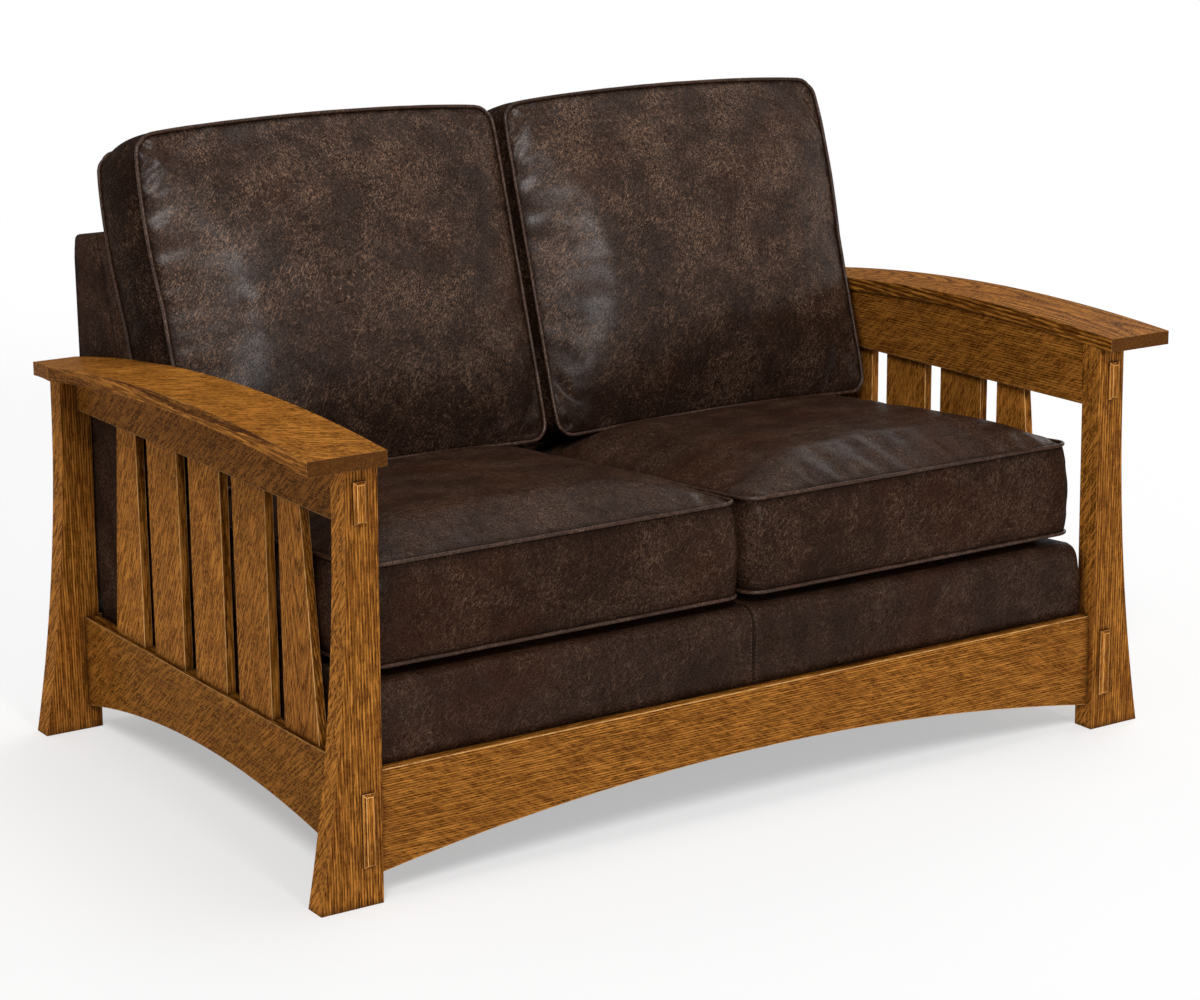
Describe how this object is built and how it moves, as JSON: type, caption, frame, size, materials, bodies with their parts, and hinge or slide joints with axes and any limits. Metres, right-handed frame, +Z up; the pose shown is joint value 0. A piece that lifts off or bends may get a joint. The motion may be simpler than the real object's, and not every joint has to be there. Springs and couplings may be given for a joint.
{
  "type": "loveseat",
  "caption": "Two-seat loveseat: oak frame with bowed arms, flared legs, slatted sides and arched aprons; welted leather box cushions lift off a sprung deck and back.",
  "frame": {"origin": "on the floor, at the middle of the overall width and of the overall depth, which the arms set", "axes": "+X along the seat to the sitter's left as they sit, +Y from the front to the rear, +Z up"},
  "size_m": [1.5, 0.994, 0.9793],
  "materials": {
    "oak": "quarter-sawn oak, golden brown glaze, satin lacquer",
    "leather": "dark brown distressed leather, satin",
    "welting": "self welts of the same leather",
    "hardwood": "unfinished hardwood",
    "spring_steel": "bare spring wire, clips and screws",
    "burlap": "plain jute sheet",
    "padding": "cotton and fibre padding",
    "foam": "foam core in a plain wrap",
    "cambric": "black dust cloth",
    "zip": "dark zip tape"
  },
  "bodies": {
    "frame": {"front_left_leg": "oak", "front_right_leg": "oak", "rear_left_leg": "oak", "rear_right_leg": "oak", "left_arm": "oak", "right_arm": "oak", "left_upper_rail": "oak", "right_upper_rail": "oak", "left_lower_rail": "oak", "right_lower_rail": "oak", "left_slat_1": "oak", "left_slat_2": "oak", "left_slat_3": "oak", "left_slat_4": "oak", "left_slat_5": "oak", "right_slat_1": "oak", "right_slat_2": "oak", "right_slat_3": "oak", "right_slat_4": "oak", "right_slat_5": "oak", "tenon_ends": "oak", "front_apron": "oak", "rear_apron": "oak", "cleats": "hardwood", "arm_dowels": "hardwood", "cleat_screws": "spring_steel", "seat_front_rail": "hardwood", "seat_rear_rail": "hardwood", "seat_left_rail": "hardwood", "seat_right_rail": "hardwood", "seat_springs_set": "spring_steel", "spring_clips": "spring_steel", "burlap_sheet": "burlap", "deck_pad": "padding", "deck_cover": "leather", "dust_cover": "cambric", "back_left_post": "hardwood", "back_right_post": "hardwood", "back_top_rail": "hardwood", "back_bottom_rail": "hardwood", "back_base_rail": "hardwood", "back_springs_set": "spring_steel", "back_padding": "padding", "back_cover": "leather"},
    "seat_cushion_left": {"seat_left_cushion_cover": "leather", "seat_left_welts": "welting", "seat_left_core": "foam", "seat_left_zip": "zip"},
    "seat_cushion_right": {"seat_right_cushion_cover": "leather", "seat_right_welts": "welting", "seat_right_core": "foam", "seat_right_zip": "zip"},
    "back_cushion_left": {"back_left_cushion_cover": "leather", "back_left_welts": "welting", "back_left_core": "foam", "back_left_zip": "zip"},
    "back_cushion_right": {"back_right_cushion_cover": "leather", "back_right_welts": "welting", "back_right_core": "foam", "back_right_zip": "zip"}
  },
  "joints": [
    {"name": "seat_left_lift_off", "type": "slide", "parent": "frame", "child": "seat_cushion_left", "axis": [0, -0.9976, 0.0698], "range_m": [0, 0.72]},
    {"name": "back_left_lift_off", "type": "slide", "parent": "frame", "child": "back_cushion_left", "axis": [0, 0.2957, 0.9553], "range_m": [0, 0.61]},
    {"name": "seat_right_lift_off", "type": "slide", "parent": "frame", "child": "seat_cushion_right", "axis": [0, -0.9976, 0.0698], "range_m": [0, 0.72]},
    {"name": "back_right_lift_off", "type": "slide", "parent": "frame", "child": "back_cushion_right", "axis": [0, 0.2957, 0.9553], "range_m": [0, 0.61]}
  ]
}
